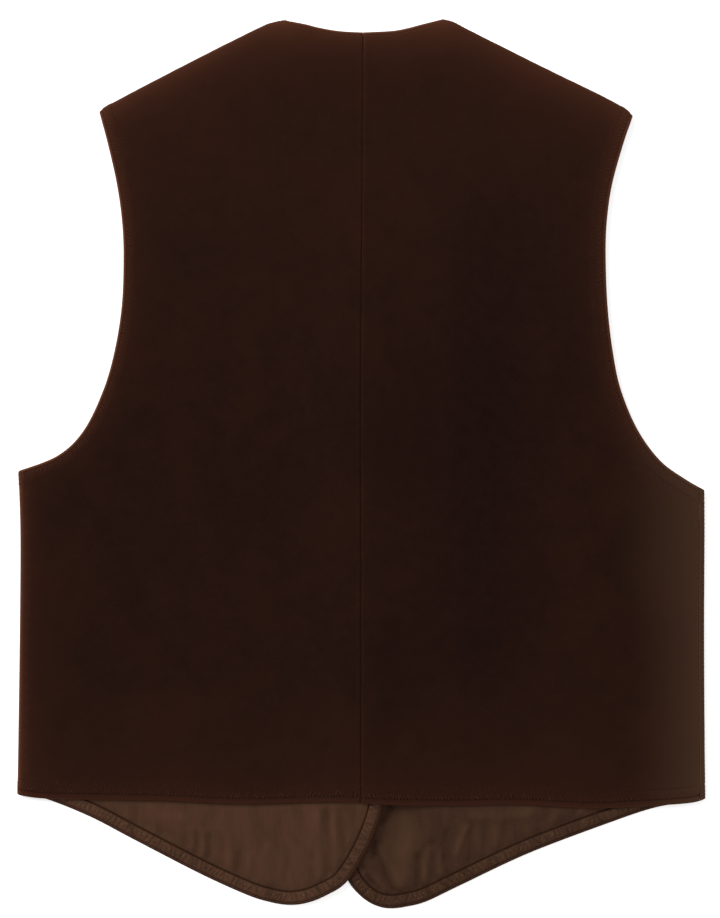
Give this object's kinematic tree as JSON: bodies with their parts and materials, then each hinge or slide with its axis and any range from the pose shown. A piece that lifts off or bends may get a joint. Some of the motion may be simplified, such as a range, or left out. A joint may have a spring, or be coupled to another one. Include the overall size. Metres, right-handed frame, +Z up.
{
  "type": "leather vest, laid flat",
  "caption": "Suede vest laid flat, back up: a two-piece back with a centre seam over two lined fronts whose rounded points show below the hem.",
  "frame": {"origin": "centre of the bounding box in plan, on the surface that the vest lies on", "axes": "+Y from hem to neck, +X towards the wearer's right, +Z up from the surface, out of the back"},
  "size_m": [0.5016, 0.648, 0.0105],
  "materials": {
    "suede": "dark brown suede with a short soft nap, twin topstitched edges",
    "lining": "brown satin with a soft sheen",
    "button": "dark brown, slightly glossy"
  },
  "bodies": {
    "root": {"back_left": "suede", "back_right": "suede", "front_left": "suede", "front_right": "suede", "lining_left": "lining", "lining_right": "lining", "button_1": "button", "button_2": "button", "button_3": "button", "button_4": "button", "button_5": "button"}
  },
  "joints": []
}
